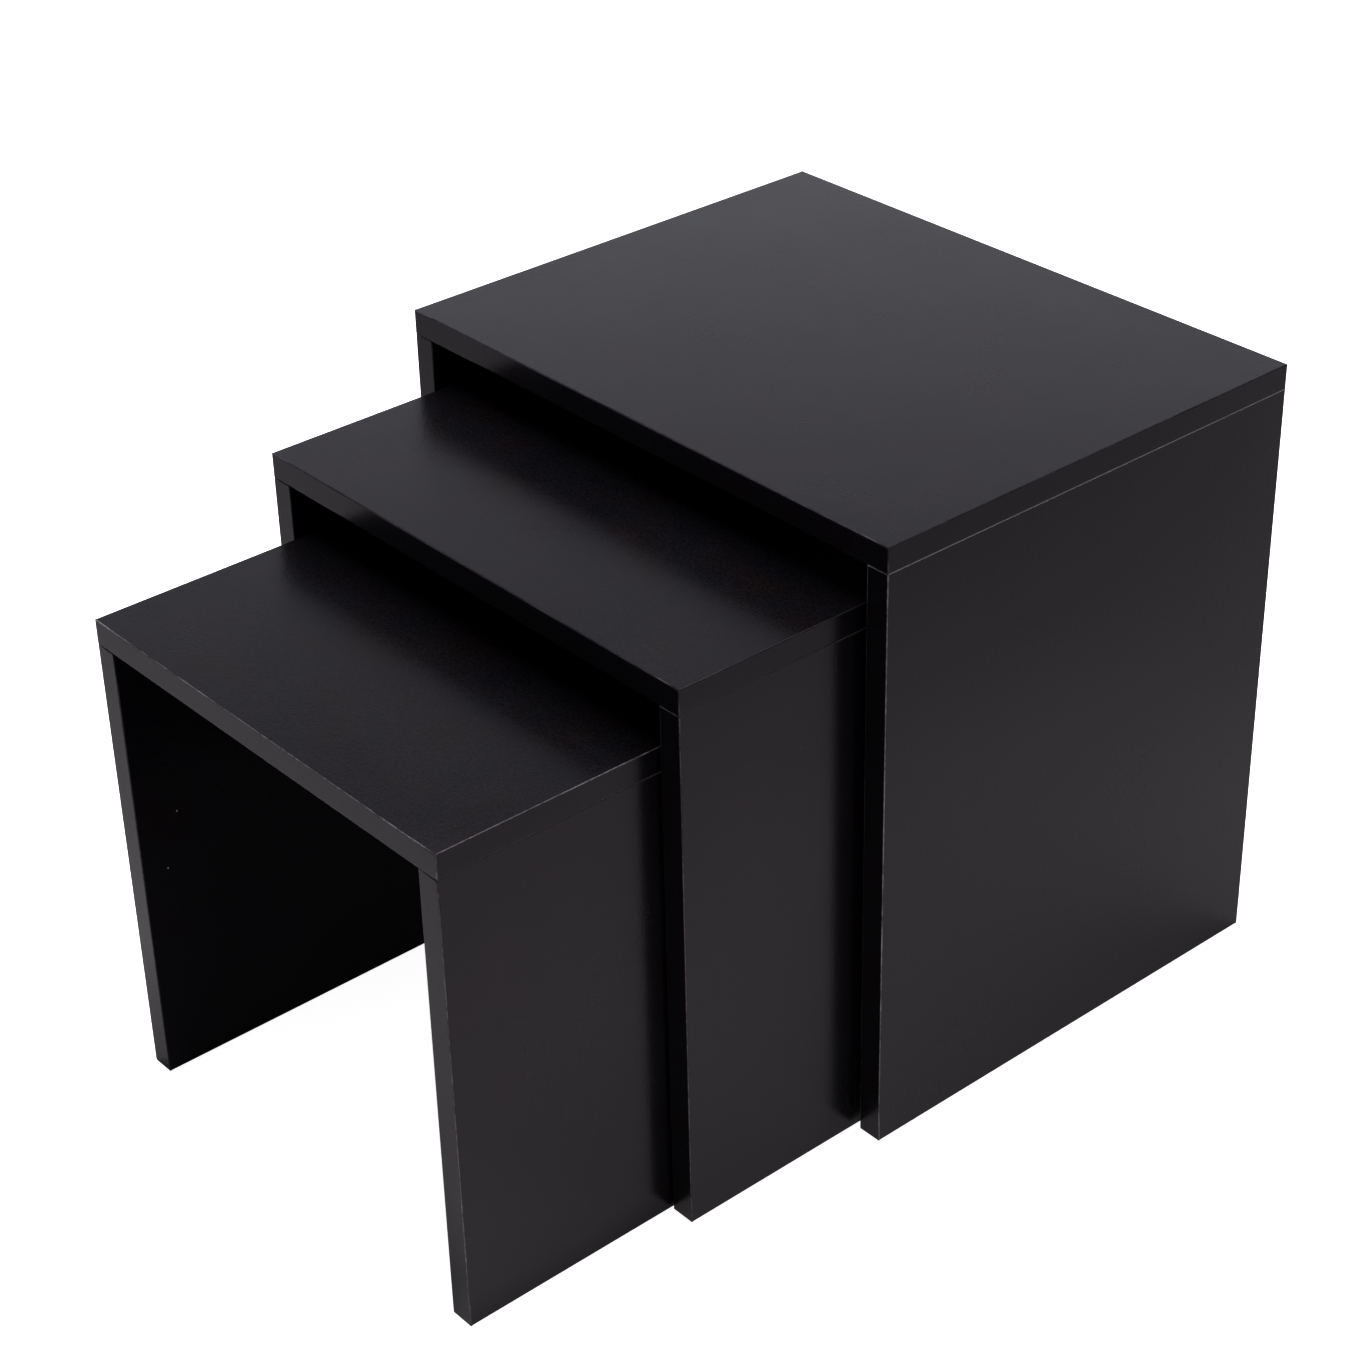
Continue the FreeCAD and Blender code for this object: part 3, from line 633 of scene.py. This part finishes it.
# sets one kind of fitting on every table, its places taken from the CAD node it stands in for; the upright
# ones take their length from it too, and the leaning ones face each other across the table
def makeFittings(kind, makeTree, shape, material, lean=0.0, spin=0.0):
    # usual sizes, which settle the kind of each input; every table then gets its own
    sizes = {"Across": 0.4, "Along": 0.2, "Lean": lean, "Spin": spin, "Seed": 1, **shape,
             "Material": material}
    if not lean:
        sizes["Length"] = 0.04
    tree = makeTree(sizes)
    for table in tables:
        node = f"{table}_{kind}"
        low, high = (Vector(corner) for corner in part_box(node))
        wide = 2 * max(value for label, value in shape.items() if label.endswith("Radius"))
        sizes["Across"] = high.x - low.x - (0.0 if lean else wide)
        sizes["Along"] = high.y - low.y - wide
        sizes["Seed"] = 1 + tables.index(table)
        if not lean:
            sizes["Length"] = high.z - low.z
        foot = (low.z + high.z) / 2 if lean else low.z
        fittings = growPiece(f"{node}_set", tree, sizes)
        settlePiece(fittings, Matrix.Translation(((low.x + high.x) / 2, (low.y + high.y) / 2, foot)),
                    table, node)


def finishHousings():
    material = castZinc()
    for table in tables:
        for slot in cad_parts[f"{table}_cam_housings"].material_slots:
            slot.material = material


makeFittings("cam_caps", capTree, capFace["cap"], capPlastic(), lean=-math.pi / 2)
makeFittings("cam_bolts", boltTree, boltShape["bolt"], boltSteel(), spin=2 * math.pi)
makeFittings("dowels", dowelTree, dowelShape["dowel"], dowelBeech(), spin=2 * math.pi)
finishHousings()
print("fittings: cover caps, cam bolts, dowels and cam housings on", len(tables), "tables")


studio = {
    "brightWall": (1.46, 1.51, 1.59),
    "dimRoom": (0.30, 0.29, 0.31),
    "backdrop": (1.05, 1.05, 1.05),
    "wallTowards": (-0.76, 0.65, 0.0),
    "wallSpread": (-0.1, 0.7),
    "wallTop": 0.49,
    "wallFade": 0.13,
    "softboxPlace": (-0.15, 0.15, 1.7),
    "softboxSize": 1.3,
    "softboxPower": 44.0,
    "floorSize": 80.0,
    "floorGap": 0.0002,
    "floorTone": (0.84, 0.83, 0.84),
    "floorPatchSize": 0.4,
    "floorPatchTone": 0.985,
    "floorRoughness": 0.8,
    "floorGloss": 0.2,
    "floorGlow": 0.92,
    # pools of light and of shade on the floor: centre, where they start and stop to fade, strength
    "pools": (
        ((0.30, -0.15, 0.0), 0.10, 0.80, 0.70),
        ((0.22, -0.36, 0.0), 0.00, 0.18, 0.55),
        ((-0.19, -0.36, 0.0), 0.00, 0.10, -0.45),
    ),
    "farGlow": 0.5,
    "farFades": (1.35, 2.0),
    "behindTowards": (-0.6, 0.8, 0.0),
    "behindFades": (0.30, 0.60),
    "tunnelGlow": 0.1,
    "tunnelSide": (0.21, 0.15),
    "tunnelMouth": (-0.42, -0.33),
    "contrast": 0.81,
    "aim": (0.0086, 0.0011, 0.0202),
    "distance": 2.0559,
    "azimuth": 49.664,
    "elevation": 31.367,
    "roll": -1.365,
    "lens": 80.13,
    "sensor": 36,
}


def makeFloor():
    half = studio["floorSize"] / 2
    mesh = bpy.data.meshes.new("floor")
    corners = [(-half, -half), (half, -half), (half, half), (-half, half)]
    mesh.from_pydata([(x, y, -studio["floorGap"]) for x, y in corners], [], [(0, 1, 2, 3)])
    floor = bpy.data.objects.new("floor", mesh)
    bpy.context.scene.collection.objects.link(floor)
    material, tree, shader, place = newMaterial("pale_floor", studio["floorTone"])
    tone = spread(tree, mottle(tree, place, studio["floorPatchSize"], 2.0), 0.3, 0.7,
                  studio["floorPatchTone"], 1.0)
    tree.links.new(blendColour(tree, 1.0, (*studio["floorTone"], 1), tone, "MULTIPLY"),
                   shader.inputs["Base Color"])
    shader.inputs["Roughness"].default_value = studio["floorRoughness"]
    shader.inputs["Specular IOR Level"].default_value = studio["floorGloss"]
    # what the nest mirrors is a pool of light by its feet, shaded under the tables;
    # seen directly the floor stays evenly white
    pool = 0.0
    for centre, starts, stops, glow in studio["pools"]:
        reach = addNode(tree, "ShaderNodeVectorMath", {0: place.outputs["Object"], 1: centre},
                        operation="DISTANCE")
        pool = calc(tree, "ADD", pool, spread(tree, reach.outputs["Value"], starts, stops, glow, 0.0))
    parts = addNode(tree, "ShaderNodeSeparateXYZ", {0: place.outputs["Object"]}).outputs
    betweenSides = spread(tree, calc(tree, "ABSOLUTE", parts[0]), *studio["tunnelSide"])
    inTunnel = calc(tree, "MULTIPLY", betweenSides, spread(tree, parts[1], *studio["tunnelMouth"]))
    pool = calc(tree, "MULTIPLY", calc(tree, "MAXIMUM", pool, 0.0),
                spread(tree, inTunnel, 0.0, 1.0, 1.0, studio["tunnelGlow"]))
    # the floor glows again far out, and behind the nest
    outward = addNode(tree, "ShaderNodeVectorMath", {0: place.outputs["Object"]},
                      operation="LENGTH").outputs["Value"]
    behind = addNode(tree, "ShaderNodeVectorMath", {0: place.outputs["Object"], 1: studio["behindTowards"]},
                     operation="DOT_PRODUCT").outputs["Value"]
    far = calc(tree, "MAXIMUM", spread(tree, outward, *studio["farFades"]),
               spread(tree, behind, *studio["behindFades"]))
    pool = calc(tree, "MULTIPLY_ADD", far, studio["farGlow"], pool)
    seen = addNode(tree, "ShaderNodeLightPath").outputs["Is Camera Ray"]
    shader.inputs["Emission Color"].default_value = (1, 1, 1, 1)
    tree.links.new(addNode(tree, "ShaderNodeMix", {0: seen, 2: pool, 3: studio["floorGlow"]}).outputs[0],
                   shader.inputs["Emission Strength"])
    mesh.materials.append(material)


# a low white wall behind and to the left, which the tops mirror, and a dim room everywhere else; seen
# directly, the backdrop is evenly white
def makeRoom():
    world = bpy.data.worlds.new("white_wall_room")
    world.use_nodes = True
    tree = world.node_tree
    place = addNode(tree, "ShaderNodeTexCoord")
    facing = addNode(tree, "ShaderNodeVectorMath", {
        0: place.outputs["Generated"], 1: Vector(studio["wallTowards"]).normalized()},
        operation="DOT_PRODUCT")
    upward = addNode(tree, "ShaderNodeSeparateXYZ", {0: place.outputs["Generated"]}).outputs[2]
    sideways = spread(tree, facing.outputs["Value"], *studio["wallSpread"])
    below = spread(tree, upward, studio["wallTop"] + studio["wallFade"],
                   studio["wallTop"] - studio["wallFade"])
    colour = blendColour(tree, calc(tree, "MULTIPLY", sideways, below),
                         (*studio["dimRoom"], 1), (*studio["brightWall"], 1))
    seen = addNode(tree, "ShaderNodeLightPath").outputs["Is Camera Ray"]
    tree.links.new(blendColour(tree, seen, colour, (*studio["backdrop"], 1)),
                   tree.nodes["Background"].inputs["Color"])
    bpy.context.scene.world = world


def makeSoftbox():
    lamp = bpy.data.lights.new("softbox", "AREA")
    lamp.shape = "DISK"
    lamp.size = studio["softboxSize"]
    lamp.energy = studio["softboxPower"]
    softbox = bpy.data.objects.new("softbox", lamp)
    softbox.location = studio["softboxPlace"]
    bpy.context.scene.collection.objects.link(softbox)


def makeCamera():
    low, high = (Vector(corner) for corner in cadBox)
    turn, rise = math.radians(studio["azimuth"]), math.radians(studio["elevation"])
    back = Vector((math.sin(turn) * math.cos(rise), -math.cos(turn) * math.cos(rise), math.sin(rise)))
    lens = bpy.data.cameras.new("camera")
    lens.lens = studio["lens"]
    lens.sensor_width = studio["sensor"]
    camera = bpy.data.objects.new("camera", lens)
    bpy.context.scene.collection.objects.link(camera)
    tilt = Matrix.Rotation(math.radians(studio["roll"]), 3, "Z")
    pose = (-back).to_track_quat("-Z", "Y").to_matrix() @ tilt
    spot = (low + high) / 2 + Vector(studio["aim"]) + back * studio["distance"]
    camera.matrix_world = Matrix.Translation(spot) @ pose.to_4x4()
    bpy.context.scene.camera = camera


makeFloor()
makeRoom()
makeSoftbox()
makeCamera()
bpy.context.scene.view_settings.view_transform = "Standard"
bpy.context.scene.view_settings.gamma = studio["contrast"]
print("studio set")
